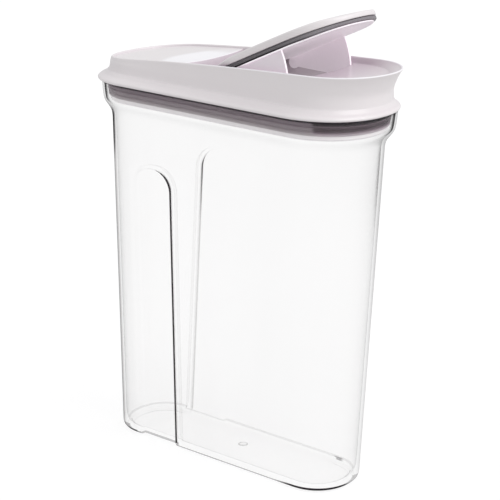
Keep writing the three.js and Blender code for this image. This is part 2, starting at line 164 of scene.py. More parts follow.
# ------------------------------------------------------------------ mesh helpers
class Shape:
    """Collects closed shells, then becomes one mesh object."""

    def __init__(self):
        self.verts, self.faces = [], []

    def rings(self, rings, closed=False, zip_front=0):
        """Skins a stack of rings. closed joins the last ring to the first; zip_front closes both
        ends with strips across the middle line, for rings that start with that many segments
        round the front."""
        size, start = len(rings[0]), len(self.verts)
        faces = []
        for j in range(len(rings) if closed else len(rings) - 1):
            a, b = j * size, ((j + 1) % len(rings)) * size
            for i in range(size):
                k = (i + 1) % size
                faces.append((a + i, a + k, b + k, b + i))
        last = (len(rings) - 1) * size
        if zip_front:
            half = (size - zip_front - 1) // 2
            left = range(zip_front // 2, zip_front + half + 2)
            right = [*range(zip_front // 2, -1, -1), *(size - 1 - j for j in range(half + 1))]
            for base in (0, last):
                for q in range(len(left) - 1):
                    face = []
                    for i in (left[q], left[q + 1], right[q + 1], right[q]):
                        if base + i not in face:
                            face.append(base + i)
                    if len(face) > 2:
                        faces.append(tuple(face if base else reversed(face)))
        elif not closed:
            faces.append(tuple(range(size - 1, -1, -1)))
            faces.append(tuple(range(last, last + size)))
        self.verts += [p for ring in rings for p in ring]
        self.faces += [tuple(i + start for i in face) for face in faces]

    def opened(self):
        """All points turned about the hinge line; +X lifts."""
        c, s = math.cos(math.radians(OPEN_DEG)), math.sin(math.radians(OPEN_DEG))
        self.verts = [
            (HINGE_X + (x - HINGE_X) * c - (z - HINGE_Z) * s, y,
             HINGE_Z + (x - HINGE_X) * s + (z - HINGE_Z) * c)
            for x, y, z in self.verts
        ]
        return self

    def make(self, name, body, material, slot, replaces, sharp_deg, attributes=None):
        mesh = bpy.data.meshes.new(name)
        mesh.from_pydata([(x * MM, y * MM, z * MM) for x, y, z in self.verts], [], self.faces)
        bm = bmesh.new()
        bm.from_mesh(mesh)
        for key, values in (attributes or {}).items():
            kinds = bm.verts.layers
            kind = kinds.float_vector if isinstance(values[0], tuple) else kinds.float
            layer = kind.new(key)
            for vert, value in zip(bm.verts, values):
                vert[layer] = value
        bmesh.ops.remove_doubles(bm, verts=bm.verts, dist=MERGE_DISTANCE * MM)
        bmesh.ops.dissolve_degenerate(bm, edges=bm.edges, dist=1e-6)
        bmesh.ops.recalc_face_normals(bm, faces=bm.faces)
        bm.to_mesh(mesh)
        bm.free()
        mesh.validate()
        mesh.update()
        for polygon in mesh.polygons:
            polygon.use_smooth = True
        mesh.set_sharp_from_angle(angle=math.radians(sharp_deg))
        obj = bpy.data.objects.new(name, mesh)
        bpy.context.scene.collection.objects.link(obj)
        mesh.materials.append(material)
        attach(obj, body)
        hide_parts(replaces)


def quarter(steps):
    """Angles of a quarter turn in even steps."""
    return [math.pi / 2 * k / steps for k in range(steps + 1)]


def circle(radius, segments):
    angles = [2 * math.pi * i / segments for i in range(segments)]
    return [(radius * math.cos(a), radius * math.sin(a)) for a in angles]


def rounded_end(centre_x, length, half, start, segments):
    """Half a superellipse, anticlockwise from the start angle."""
    points = []
    for i in range(segments + 1):
        angle = start + math.pi * i / segments
        c, s = (math.copysign(abs(v) ** (2 / END_POWER), v)
                for v in (math.cos(angle), math.sin(angle)))
        points.append((centre_x + length * c, half * s))
    return points


def end_taper(t):
    """Share of the half width left at share t of the way along a rounded end."""
    return max(0.0, 1 - clamp01(t) ** END_POWER) ** (1 / END_POWER)


def lifted(plan, height):
    """Plan points at a height, which is a number or a function of x."""
    return [(x, y, height(x) if callable(height) else height) for x, y in plan]


def outline_plan(o, segments, side):
    """Plan points in the order front end, +Y side (as given), rear end, -Y side."""
    front = rounded_end(o.front - o.front_end, o.front_end, o.half, -math.pi / 2, segments)
    rear = rounded_end(o.rear + o.rear_end, o.rear_end, o.half, math.pi / 2, segments)
    return front + side + rear + [(x, -y) for x, y in reversed(side)]


def lid_ring(outline, height=0.0):
    side = [(x, outline.half) for x in SIDE_X]
    return lifted(outline_plan(outline, LID_SEGMENTS, side), height)


def fillet(corners, steps=4):
    """A closed 2-D polygon of (u, v, radius) corners with its corners rounded."""
    points = [np.array(corner[:2], float) for corner in corners]
    rounded = []
    for i, (_, _, radius) in enumerate(corners):
        corner = points[i]
        back, ahead = points[i - 1] - corner, points[(i + 1) % len(points)] - corner
        back_length, ahead_length = np.linalg.norm(back), np.linalg.norm(ahead)
        back, ahead = back / back_length, ahead / ahead_length
        angle = math.acos(max(-1.0, min(1.0, float(back @ ahead))))
        if angle > math.radians(172):
            rounded.append(tuple(corner))
            continue
        cut = min(radius / math.tan(angle / 2), 0.45 * back_length, 0.45 * ahead_length)
        bisector = (back + ahead) / np.linalg.norm(back + ahead)
        centre = corner + bisector * cut * math.tan(angle / 2) / math.sin(angle / 2)
        start, end = corner + back * cut - centre, corner + ahead * cut - centre
        turn = math.pi - angle
        for k in range(steps + 1):
            t = k / steps
            arm = (start * math.sin((1 - t) * turn) + end * math.sin(t * turn)) / math.sin(turn)
            rounded.append(tuple(centre + arm))
    return rounded


# ------------------------------------------------------------------ shader helpers
class Nodes:
    """Builds the node tree of a new material or world."""

    def __init__(self, owner):
        owner.use_nodes = True
        self.tree = owner.node_tree
        self.tree.nodes.clear()

    def put(self, node, inputs):
        """Links sockets to a node's inputs, or sets values; three numbers are an opaque colour."""
        for key, value in inputs.items():
            if isinstance(value, bpy.types.NodeSocket):
                self.tree.links.new(value, node.inputs[key])
            elif isinstance(value, tuple):
                node.inputs[key].default_value = (*value, 1)
            else:
                node.inputs[key].default_value = value

    def add(self, kind, inputs=None, **settings):
        node = self.tree.nodes.new("ShaderNode" + kind)
        for key, value in settings.items():
            setattr(node, key, value)
        self.put(node, inputs or {})
        return node

    def position(self):
        return self.add("TexCoord").outputs["Object"]

    def attribute(self, name, output="Fac"):
        return self.add("Attribute", attribute_name=name).outputs[output]

    def calc(self, operation, *operands, clamp=False):
        inputs = dict(enumerate(operands))
        return self.add("Math", inputs, operation=operation, use_clamp=clamp).outputs[0]

    def dot(self, a, b):
        return self.add("VectorMath", {0: a, 1: b}, operation="DOT_PRODUCT").outputs["Value"]

    def ranged(self, value, span, to=(0.0, 1.0), soft=False):
        """The value carried from one span to another; soft eases both ends."""
        inputs = {0: value, 1: span[0], 2: span[1], 3: to[0], 4: to[1]}
        kind = "SMOOTHSTEP" if soft else "LINEAR"
        return self.add("MapRange", inputs, interpolation_type=kind).outputs[0]

    def noise(self, position, scale, detail, roughness, distortion=0.0):
        return self.add("TexNoise", {
            "Vector": position, "Scale": scale, "Detail": detail, "Roughness": roughness,
            "Distortion": distortion}).outputs["Fac"]

    def mix(self, factor, a, b, blend="MIX"):
        inputs = {"Factor": factor, "A": a, "B": b}
        return self.add("Mix", inputs, data_type="RGBA", blend_type=blend).outputs["Result"]

    def bump(self, height, strength, distance):
        inputs = {"Height": height, "Strength": strength, "Distance": distance}
        return self.add("Bump", inputs).outputs["Normal"]

    def mix_shader(self, factor, first, second):
        inputs = {0: factor, 1: first.outputs[0], 2: second.outputs[0]}
        return self.add("MixShader", inputs)


# ------------------------------------------------------------------ materials
# Plug seal colours from bottom to top, the seal's own grey with painted light and shade of its
# ribs and grooves and a painted shadow line under the lid at the top: share of the height, colour.
SEAL_Z = (266.8, 277.3)
SEAL_SIDE_TONES = (
    (0.0, (0.56, 0.52, 0.53)), (0.06, (0.50, 0.455, 0.47)), (0.14, (0.41, 0.36, 0.38)),
    (0.26, (0.355, 0.305, 0.328)), (0.34, (0.285, 0.237, 0.26)), (0.44, (0.325, 0.275, 0.30)),
    (0.54, (0.275, 0.225, 0.252)), (0.66, (0.225, 0.178, 0.205)), (0.78, (0.235, 0.188, 0.215)),
    (0.84, (0.27, 0.22, 0.25)), (0.885, (0.06, 0.04, 0.052)), (1.0, (0.045, 0.03, 0.04)),
)
SEAL_END_TONES = (
    (0.0, (0.60, 0.54, 0.58)), (0.10, (0.50, 0.43, 0.47)), (0.20, (0.26, 0.20, 0.235)),
    (0.30, (0.105, 0.072, 0.09)), (0.44, (0.058, 0.038, 0.047)), (0.54, (0.085, 0.058, 0.073)),
    (0.60, (0.19, 0.145, 0.17)), (0.66, (0.14, 0.105, 0.125)), (0.72, (0.045, 0.028, 0.037)),
    (0.80, (0.010, 0.004, 0.008)), (0.90, (0.03, 0.018, 0.026)), (1.0, (0.05, 0.034, 0.044)),
)
SEAL_END_X = (89.2, 92.7)           # the painted side shading passes into the deeper painted shade of the pouring end over this stretch


def paint_seal_light_and_shade(g, position, colour):
    """Painted light and shade of a soft seal's ribs and grooves over its height, over the seal's
    own grey, with a painted shadow line under the lid; the pouring end is painted in deeper shade.
    """
    place = g.add("SeparateXYZ", {0: position}).outputs
    height = g.ranged(place["Z"], span=(SEAL_Z[0] * MM, SEAL_Z[1] * MM))
    tones = []
    for stops in (SEAL_SIDE_TONES, SEAL_END_TONES):
        ramp = g.add("ValToRGB", {0: height})
        stop_list = ramp.color_ramp.elements
        while len(stop_list) > 1:
            stop_list.remove(stop_list[-1])
        stop_list[0].position, stop_list[0].color = stops[0][0], (*stops[0][1], 1)
        for share, painted_light in stops[1:]:
            stop_list.new(share).color = (*painted_light, 1)
        tones.append(ramp.outputs["Color"])
    at_end = g.ranged(place["X"], span=(SEAL_END_X[0] * MM, SEAL_END_X[1] * MM), soft=True)
    return g.mix(1.0, g.mix(at_end, *tones), colour, blend="MULTIPLY")


def moulded(name, base, low, rough, bump=0.06, grain=900.0, coat=0.0, specular=0.5, shade=None,
            shade_span=(0.25, 0.85), glow=0.0, painted_light=None, painted_light_glow=0.0, banded=False):
    """Moulded plastic with flow marks from low to base colour and a fine mould grain.

    shade is painted shade: it colours the recesses over a span of ambient occlusion, and glow
    lights them as a painted glow. The painted light colour and its glow do the same where the
    mesh's per-point painted light attribute is high."""
    material = bpy.data.materials.new(name)
    g = Nodes(material)
    surface = g.add("BsdfPrincipled", {"Specular IOR Level": specular})
    if coat:
        g.put(surface, {"Coat Weight": coat, "Coat Roughness": 0.12})
    position = g.position()
    flow = g.noise(position, scale=14.0, detail=3.0, roughness=0.55, distortion=0.6)
    colour = g.mix(g.ranged(flow, span=(0.3, 0.7)), low, base)
    # Painted light colour where the mesh's per-point attribute for it is high.
    if painted_light:
        colour = g.mix(g.attribute("painted_light"), colour, painted_light)
    if banded:
        colour = paint_seal_light_and_shade(g, position, colour)

    # Painted highlight: edges are painted a little lighter where a rounded edge's shading normal
    # parts from the true one.
    rounded = g.add("Bevel", {"Radius": 0.0007}, samples=3).outputs[0]
    agreement = g.dot(rounded, g.add("NewGeometry").outputs["Normal"])
    edge_highlight = (0.5, 0.45, 0.48) if banded else tuple(min(1.0, c * 1.15 + 0.04) for c in base)
    colour = g.mix(g.ranged(agreement, span=(0.985, 0.90), to=(0.0, 0.30)), colour, edge_highlight)

    if shade:
        # Painted shade: recesses are coloured towards a warm violet by ambient occlusion, standing
        # in for the cast that light picks up between white walls.
        occlusion = g.add("AmbientOcclusion", {"Distance": 0.045}, samples=8).outputs["AO"]
        openness = g.ranged(occlusion, span=shade_span)
        colour = g.mix(openness, shade, colour)
        # Painted glow: occluded recesses are lit by emission in place of fill light.
        if glow:
            recess_glow = g.ranged(openness, span=(0.0, 1.0), to=(glow, 0.0))
            g.put(surface, {"Emission Strength": recess_glow, "Emission Color": shade})
    # Painted glow of the painted light where the mesh's per-point attribute for it is high.
    if painted_light_glow:
        inputs = {0: g.attribute("painted_light"), 1: painted_light_glow, 2: 0.0}
        both = g.add("Math", inputs, operation="MULTIPLY_ADD")
        if glow:
            g.put(both, {2: recess_glow})
        g.put(surface, {"Emission Strength": both.outputs[0], "Emission Color": shade})

    scuffs = g.noise(position, scale=60.0, detail=4.0, roughness=0.6)
    fine = g.noise(position, scale=grain, detail=2.0, roughness=0.5)
    g.put(surface, {
        "Base Color": colour,
        "Roughness": g.ranged(scuffs, span=(0.3, 0.75), to=(rough * 0.92, rough * 1.1)),
        "Normal": g.bump(fine, strength=bump, distance=0.0002),
    })
    g.add("OutputMaterial", {"Surface": surface.outputs[0]})
    return material


# Clear plastic
VEIL_POWER, VEIL_GAIN = 2.2, 0.150          # greying of walls seen edge-on
MIRROR_POWER, MIRROR_GAIN, MIRROR_LEAST = 5.0, 0.40, 0.013      # gloss, strongest edge-on
DARK_EDGE_DULLS = 0.9                             # how far dark edges lose their gloss
# The clear tint, then the colour of the painted shade on dark edges and silhouettes.
CLEAR_TINT, EDGE_SHADE_COLOUR = (0.9885, 0.988, 0.9875), (0.035, 0.028, 0.033)


def clear_plastic(name):
    """What is behind shows through; edges that bend light away from the viewer are painted dark as
    painted shade.

    The mesh says where, point by point: edge_wall and edge_side are the directions of the two
    faces that meet at an edge, then how dark the edge and the silhouette are painted, and veil how
    much the wall greys when seen edge-on."""
    material = bpy.data.materials.new(name)
    g = Nodes(material)
    position = g.position()
    geometry = g.add("NewGeometry").outputs

    def towards_viewer(key):
        return g.dot(g.attribute(key, "Vector"), geometry["Incoming"])

    # 0 seen flat, 1 at the silhouette.
    facing = g.add("LayerWeight", {"Blend": 0.5}).outputs["Facing"]
    normal_z = g.add("SeparateXYZ", {0: geometry["Normal"]}).outputs["Z"]
    # Level faces are veiled and mirror less than upright ones.
    upright = g.ranged(g.calc("ABSOLUTE", normal_z), span=(0.75, 0.95), to=(1.0, 0.12), soft=True)
    # Painted shade: an edge is painted dark where one of its faces looks towards the viewer and
    # the other away.
    turn = g.calc("MULTIPLY", towards_viewer("edge_side"),
                  g.calc("SIGN", towards_viewer("edge_wall")))
    turn = g.calc("MULTIPLY", turn, -1.0)
    edge = g.calc("MULTIPLY", g.ranged(turn, span=(0.30, 0.48), soft=True),
                  g.attribute("edge_shade"))
    silhouette = g.calc("MULTIPLY", g.ranged(facing, span=(0.64, 0.86), soft=True),
                        g.attribute("outline_shade"))
    haze = g.noise(position, scale=9.0, detail=3.0, roughness=0.5, distortion=0.4)
    veil = g.calc("MULTIPLY_ADD", g.calc("POWER", facing, VEIL_POWER), VEIL_GAIN,
                  g.ranged(haze, span=(0.3, 0.7), to=(0.0, 0.010)))
    veil = g.calc("MULTIPLY", veil, g.calc("MULTIPLY", upright, g.attribute("veil")))
    dark = g.calc("ADD", g.calc("ADD", veil, silhouette), edge, clamp=True)
    see_through = g.add("BsdfTransparent", {"Color": g.mix(dark, CLEAR_TINT, EDGE_SHADE_COLOUR)})

    scuffs = g.noise(position, scale=45.0, detail=5.0, roughness=0.65)
    gloss = g.add("BsdfGlossy", {
        "Roughness": g.ranged(scuffs, span=(0.35, 0.8), to=(0.03, 0.12)),
        "Normal": g.bump(haze, strength=0.05, distance=0.0004),
    })
    mirror = g.calc("MULTIPLY_ADD", g.calc("POWER", facing, MIRROR_POWER),
                    MIRROR_GAIN, MIRROR_LEAST)
    mirror = g.calc("MULTIPLY", mirror, upright)
    mirror = g.calc("MULTIPLY", mirror,
                    g.calc("SUBTRACT", 1.0, g.calc("MULTIPLY", dark, DARK_EDGE_DULLS)))
    surface = g.mix_shader(mirror, see_through, gloss)
    g.add("OutputMaterial", {"Surface": surface.outputs[0]})
    return material


# White lid plastic, with painted violet shade in its recesses and a painted highlight with a faint
# glow on the thumb scoop, its front edge and the rim.
WHITE = moulded(
    "white_gloss_plastic", base=(0.79, 0.755, 0.76), low=(0.775, 0.74, 0.742), rough=0.30,
    bump=0.04, coat=0.12, shade=(0.60, 0.52, 0.575), shade_span=(0.32, 0.94),
    painted_light=(0.91, 0.905, 0.925), painted_light_glow=0.04)
# White of the flap's chute, tinted lavender as painted shade, with painted violet shade and a
# painted glow in its recesses and a painted highlight with glow along its bright edges.
WHITE_IN = moulded(
    "white_satin_plastic", base=(0.83, 0.765, 0.81), low=(0.81, 0.745, 0.79), rough=0.42,
    bump=0.05, shade=(0.77, 0.69, 0.745), glow=0.29, painted_light=(0.96, 0.95, 0.96), painted_light_glow=0.42)
# A lighter copy of the lid's white for the plug frame, with painted shade and a painted glow in
# its recesses.
WHITE_FRAME = moulded(
    "white_frame_plastic", base=(0.92, 0.90, 0.905), low=(0.90, 0.88, 0.885), rough=0.42,
    bump=0.05, shade=(0.90, 0.87, 0.88), glow=0.10)
# Plug seal: its grey and its painted light, shade and shadow line come from the height bands.
RUBBER = moulded(
    "smoke_grey_seal", base=(1.0, 1.0, 1.0), low=(0.94, 0.94, 0.94), rough=0.46,
    bump=0.08, grain=1400.0, banded=True)
# Near-black flap seal; its grey colour is painted light on the groove and towards the tip.
FLAP_RUBBER = moulded(
    "dark_grey_seal", base=(0.010, 0.007, 0.009), low=(0.008, 0.006, 0.007), rough=0.40,
    bump=0.10, grain=1400.0, specular=0.12, painted_light=(0.56, 0.53, 0.56))
PIN = moulded(
    "pin_plastic", base=(0.66, 0.64, 0.64), low=(0.62, 0.60, 0.60), rough=0.30, bump=0.05)
CLEAR = clear_plastic("clear_plastic")


# ------------------------------------------------------------------ clear body: sections
collar_share = pchip([z for z, _ in COLLAR], [[share] for _, share in COLLAR])


def body_outline(z):
    grown = collar_share(min(z, COLLAR[-1][0]))[0]
    return Outline(*(mix(low, high, z / DRAFT_REF) + grown * grow
                     for low, high, grow in zip(BASE, UPPER, COLLAR_GROW)))


# The channel's edge from the wall down to its floor: offset outwards from the arch line, depth.
CHANNEL_EDGE = [
    (GRIP_LIP_R - GRIP_LIP_R * math.sin(a), GRIP_LIP_R * (1 - math.cos(a))) for a in quarter(5)
] + [
    (-0.3 - GRIP_FLOOR_R * (1 - math.cos(a)),
     GRIP_DEPTH - GRIP_FLOOR_R + GRIP_FLOOR_R * math.sin(a))
    for a in quarter(6)
]
EDGE_OFFSETS = [offset for offset, _ in CHANNEL_EDGE]
EDGE_DEPTHS = [depth for _, depth in CHANNEL_EDGE]
EDGE_COUNT = len(CHANNEL_EDGE)
SIDE_COUNT = 2 * EDGE_COUNT + SIDE_STEPS + CHANNEL_STEPS - 1    # points on each body side


def channel_depth(offset):
    return float(np.interp(offset, EDGE_OFFSETS[::-1], EDGE_DEPTHS[::-1]))


def side_points(z, half, x_front, x_rear, grow, inset):
    """The +Y side at height z from front to rear, channel included. grow widens the channel
    and inset takes from its depth."""
    share = (GRIP_DEPTH - inset) / GRIP_DEPTH
    rise = max(0.0, z - GRIP_SPRING)
    reaches, ys = [], []
    for offset in EDGE_OFFSETS:
        radius = GRIP_R + grow + offset
        reaches.append(GRIP_FLAT + math.sqrt(max(0.0, radius * radius - rise * rise)))
        ys.append(half - channel_depth(max(offset, z - GRIP_TOP - grow)) * share)
    # Contours that have ended above this height close in on the middle without crossing.
    for i in range(1, EDGE_COUNT):
        if reaches[i] >= reaches[i - 1] - 1e-6:
            reaches[i] = min(reaches[i], reaches[i - 1] * 0.985)
    edge = list(zip(reaches, ys))
    points = [(mix(x_front, GRIP_X + reaches[0], i / SIDE_STEPS), half)
              for i in range(1, SIDE_STEPS)]
    points += [(GRIP_X + reach, y) for reach, y in edge]
    points += [(GRIP_X + reaches[-1] * (1 - 2 * i / CHANNEL_STEPS), ys[-1])
               for i in range(1, CHANNEL_STEPS)]
    points += [(GRIP_X - reach, y) for reach, y in reversed(edge)]
    points.append((mix(GRIP_X - reaches[0], x_rear, 0.5), half))
    return points


def body_ring(z, inset, inner=False):
    o = body_outline(z).inset(inset)
    grow = WALL if inner else 0.0
    side = side_points(z, o.half, o.front - o.front_end, o.rear + o.rear_end, grow, inset - grow)
    return lifted(outline_plan(o, BODY_SEGMENTS, side), z)


def arch_heights(grow):
    """Heights that follow the top of the channel closely."""
    top, radius = GRIP_TOP + grow, GRIP_R + grow
    heights = [GRIP_SPRING + (radius - 2.2) * math.sin(math.radians(a)) for a in range(0, 91, 6)]
    heights += [top + offset for offset in EDGE_OFFSETS]
    heights += [top - 0.15, top + GRIP_LIP_R + 0.2]
    return sorted({round(z, 4) for z in heights})


# Rows of the body from bottom to top: height, inset from the outer outline.
COLLAR_HEIGHTS = [250 + 1.25 * k for k in range(22)]
TOP_EDGE = [(BODY_TOP - 0.8, 0.0), (BODY_TOP - 0.35, 0.12), (BODY_TOP - 0.08, 0.42),
            (BODY_TOP, 0.8)]
OUTER_ROWS = [(FOOT + 5.0 * (1 - math.cos(a)), 3.2 * (1 - math.sin(a)) ** 1.15)
              for a in quarter(10)]
OUTER_ROWS += [(z, 0.0) for z in [16, 40, 80, 120, 160, 190, *arch_heights(0.0),
                                  224, 232, 240, 247, *COLLAR_HEIGHTS]]
OUTER_ROWS += TOP_EDGE
INNER_ROWS = [(FLOOR_TOP + 12.0 * (1 - math.cos(a)) ** 1.25,
               WALL + 5.7 * (1 - math.sin(a)) ** 1.15) for a in quarter(12)]
INNER_ROWS += [(z, WALL) for z in [40, 80, 120, 160, 190, *arch_heights(WALL),
                                   227, 234, 241, 247, *COLLAR_HEIGHTS]]
INNER_ROWS += [(z, WALL - inset) for z, inset in TOP_EDGE]


# ------------------------------------------------------------------ clear body: painted dark edges
MARK_NAMES = ("edge_wall", "edge_side", "edge_shade", "outline_shade", "veil")
SIDE, EDGE_SHADE_PLACE, OUTLINE_SHADE_PLACE = 1, 2, 3       # places in a mark
NO_SIDE = (0.0, 0.0, 0.0)


def pad_share(x):
    """1 over the base's end pads, 0 between them."""
    if x > 0:
        return smooth((x - PAD_FRONT_X) / 3.0)
    return smooth((PAD_REAR_X + 1.5 - x) / 3.0)


def pad_edge_shade(x, y):
    """How dark the pads' lower edge is painted as painted shade: darkest along the base's corners
    and fading towards the ends.
    """
    if x > 0:
        return mix(0.35, 1.0, smooth((3.0 - y) / 12.0))
    return mix(0.45, 1.0, smooth((abs(y) - 26.0) / 9.0))


def outward(ring, i):
    """Direction across the ring at a point, away from its middle."""
    before, after = ring[i - 1], ring[(i + 1) % len(ring)]
    along_x, along_y = after[0] - before[0], after[1] - before[1]
    length = math.hypot(along_x, along_y) or 1.0
    return along_y / length, -along_x / length


def place_on_side(ring, i):
    """Index of a ring point along its straight side from the front, or None on an end."""
    first = BODY_SEGMENTS + 1
    if first <= i < first + SIDE_COUNT:
        return i - first
    return len(ring) - 1 - i if i >= 2 * first + SIDE_COUNT else None


def channel_edge_side(x, z, offset, end):
    """Direction into the channel at its edge, fading out away from the lip; end is 1 for the
    channel's front edge and -1 for its rear one."""
    offset = max(offset, z - GRIP_TOP)
    if offset > 0:
        share = clamp01((GRIP_LIP_R - offset) / 0.25)
    else:
        share = 1.0 + offset / 0.3 * 0.5 if offset > -0.31 else 0.0
    across, rise = x - (GRIP_X + end * GRIP_FLAT), max(0.0, z - GRIP_SPRING)
    if z > GRIP_TOP - 0.2 and abs(across) < 2.0:
        across = 0.0
    length = math.hypot(across, rise) or 1.0
    return (-across / length * share, 0.0, -rise / length * share)


def outline_and_veil(x, z, outer):
    """How dark the silhouette is painted, as painted shade, and how much the wall greys."""
    if outer:
        if z >= 263.5:
            outline = 0.05
        elif x < 0:
            outline = mix(0.27, 0.93, smooth((z - 214) / 24))
            outline *= mix(1.0, 0.25, smooth((z - 252) / 6))
        else:
            outline = mix(0.03, 0.13, smooth((z - 60) / 150))
        return outline, 1.0 if x < 0 else mix(0.6, 1.0, smooth((z - 150) / 60))
    if z >= 262.0:
        outline = 0.96 * smooth((z - 262) / 1.5)
    elif x < 0:
        outline = 0.0
    else:
        outline = mix(0.0, 0.30, smooth((z - 190) / 40)) * mix(1.0, 0.4, smooth((z - 246) / 6))
    return outline, 0.25 if x < 0 else mix(0.15, 0.55, smooth((z - 170) / 50))


def edge_marks(ring, outer, foot=0.0, foot_shade=0.42, floor=False):
    """One list in the order of MARK_NAMES for each point. foot marks a turn downwards and floor
    one upwards, both painted dark as painted shade by the given darkness for the foot."""
    marks = []
    for i, (x, y, z) in enumerate(ring):
        wall, side, painted_dark = (*outward(ring, i), 0.0), NO_SIDE, 0.0
        outline, veil = outline_and_veil(x, z, outer)
        j = place_on_side(ring, i)
        if j is not None:
            wall = (0.0, math.copysign(1.0, y), 0.0)
            if j < SIDE_STEPS - 1 + EDGE_COUNT:
                k, end = j - (SIDE_STEPS - 1), 1.0
            else:
                k, end = SIDE_COUNT - 2 - j, -1.0
            if outer and 0 <= k < EDGE_COUNT and z < GRIP_TOP + GRIP_LIP_R + 0.3:
                side = channel_edge_side(x, z, EDGE_OFFSETS[k], end)
                # Painted shade: the channel's edges are painted dark, more on the near (-Y) side
                # than on the far side.
                painted_dark = 1.0 if y < 0 else mix(0.22, 0.90, smooth((z - 150) / 60))
            if j >= SIDE_STEPS - 2 and z < GRIP_TOP + 6:
                outline, veil = 0.0, 0.3
        on_pad = outer and pad_share(x) > 0
        low = foot
        if on_pad and FOOT + 0.01 < z < FOOT + 4.5:
            low = max(foot, pad_edge_shade(x, y) * (1.0 - smooth((z - FOOT - 2.2) / 1.2)))
        # Painted shade: where the wall turns under at the foot and on the pads, the edge is
        # painted dark.
        if low > 0.25 * math.hypot(side[0], side[2]):
            side = (0.0, 0.0, -2.0 * low)
            painted_dark = pad_edge_shade(x, y) if on_pad else foot_shade
        if floor:
            side, painted_dark = (0.0, 0.0, 2.0), foot_shade
        # Painted shade: a small dark fleck at the front pad's inner end, only on the side away
        # from the viewer.
        pad_end_shade = 1.0 - smooth((abs(x - PAD_FRONT_X - 1.5) - 1.5) / 3.0)
        if outer and y > 30 and z < FOOT + 2.2 and pad_end_shade > 0:
            side, painted_dark = (0.0, 0.0, 2.0), 0.55 * pad_end_shade
        # Painted shade: the body's top edge is painted dark.
        if z > BODY_TOP - 0.9:
            side, painted_dark = (0.0, 0.0, -2.0 if outer else 2.0), 0.40
        marks.append([wall, side, painted_dark, outline, veil])
    return marks


# ------------------------------------------------------------------ clear body: mesh
# Underside from the middle outwards over the pads: inset, share of FOOT dropped
PAD_ROWS = [
    (6.2, 0.0), (5.6, 0.0), (5.15, 0.12), (4.9, 0.6), (4.6, 0.93), (4.2, 1.0),
    (2.4, 1.0), (0.9, 1.0), (0.45, 0.93), (0.2, 0.6), (0.08, 0.15),
]
# Moulding mark on the floor, its edge painted dark as painted shade: radius, height above the
# floor, z of edge_side, how dark the edge is painted
DISC_ROWS = [
    (3.8, 0.03, 0.0, 0.0), (3.8, 0.15, 0.0, 0.0), (3.55, 0.5, -2.0, 0.30),
    (3.25, 0.6, -2.0, 0.30), (2.2, 0.6, -2.0, 0.0), (1.9, 0.45, 0.0, 0.0), (0.6, 0.42, 0.0, 0.0),
]
DISC_X, DISC_SEGMENTS = 3.5, 48


def underside():
    """Rings of the base with its end pads, and their marks."""
    base = body_ring(*OUTER_ROWS[0])
    rings, marks = [], []
    for inset, drop in PAD_ROWS:
        ring = []
        row_marks = edge_marks(base, outer=True, foot=1.0)
        for i, (x, y, z) in enumerate(base):
            share, mark = pad_share(x), row_marks[i]
            if share > 0:
                out_x, out_y = outward(base, i)
                step = inset
            else:
                out_x, out_y = 0.0, math.copysign(1.0, y)
                step = inset * 0.04
            ring.append((x - out_x * step, y - out_y * step, z - FOOT * drop * share))
            # Painted shade: the pads' rounded edges are painted dark, the base's edge between them
            # less, and the silhouette faintly.
            if inset > 1.0:
                mark[SIDE], mark[EDGE_SHADE_PLACE] = NO_SIDE, 0.0
            elif share > 0:
                mark[SIDE], mark[EDGE_SHADE_PLACE] = (0.0, 0.0, -2.2), pad_edge_shade(x, y)
            else:
                mark[EDGE_SHADE_PLACE] = 0.55
            mark[OUTLINE_SHADE_PLACE] = 0.10
        rings.append(ring)
        marks += row_marks
    return rings, marks


def clear_body():
    """Underside first, then up the outside and down the inside."""
    shape = Shape()
    rings, marks = underside()
    for z, inset in OUTER_ROWS:
        rings.append(body_ring(z, inset))
        marks += edge_marks(rings[-1], outer=True, foot=1.0 - smooth((z - FOOT - 1.2) / 1.4))
    for k, (z, inset) in reversed(list(enumerate(INNER_ROWS))):
        # The wall thins by 1 mm into the collar.
        rings.append(body_ring(z, inset - smooth((z - 257) / 7) * (inset / WALL), inner=True))
        foot = k == 2
        marks += edge_marks(rings[-1], outer=False, foot=1.0 if foot else 0.0,
                            foot_shade=0.30 if foot else 0.15, floor=k in (4, 5))
    shape.rings(rings)

    disc = []
    for radius, rise, side_z, painted_dark in DISC_ROWS:
        disc.append([(DISC_X + x, y, FLOOR_TOP + rise) for x, y in circle(radius, DISC_SEGMENTS)])
        marks += [[(0.0, 0.0, 1.0), (0.0, 0.0, side_z), painted_dark, 0.25, 1.0]] * DISC_SEGMENTS
    shape.rings(disc)
    shape.make("body_clear_shell", "canister", CLEAR, "clear_plastic", "canister_body",
               sharp_deg=50, attributes=dict(zip(MARK_NAMES, zip(*marks))))


# ------------------------------------------------------------------ lid shell
SKIRT_A, SKIRT_B = 0.88 * LID_Z + 10.28, 0.12
# Outside from the skirt's lower edge up: outline, then a and b of the height a + b * rim(x)
SHELL_ROWS = [
    (49.8, 118.9, -120.0, 50.2, 43.7, LID_Z, 0),
    (50.7, 119.9, -121.3, 50.5, 43.9, LID_Z + 0.2, 0),
    (51.6, 120.9, -122.7, 50.6, 44.0, LID_Z + 0.8, 0),
    (51.8, 121.2, -123.0, 50.6, 44.0, LID_Z + 1.7, 0),
    (50.8, 120.4, -121.6, 50.0, 43.5, LID_Z + 3.1, 0),
    (47.6, 118.3, -118.1, 47.4, 41.6, LID_Z + 5.0, 0),
    (44.9, 117.2, -115.9, 44.8, 40.2, LID_Z + 7.3, 0),
    (43.3, 117.0, -115.0, 43.2, 39.0, SKIRT_A, SKIRT_B),
    (42.5, 119.7, -114.7, 42.5, 38.2, 0.5 * SKIRT_A, 0.5 * SKIRT_B + 0.5),
    (42.1, 122.5, -114.5, 42.1, 38.0, 0.2 * SKIRT_A, 0.2 * SKIRT_B + 0.8),
    (42.0, 124.3, -114.4, 42.0, 38.0, -0.9, 1),
]
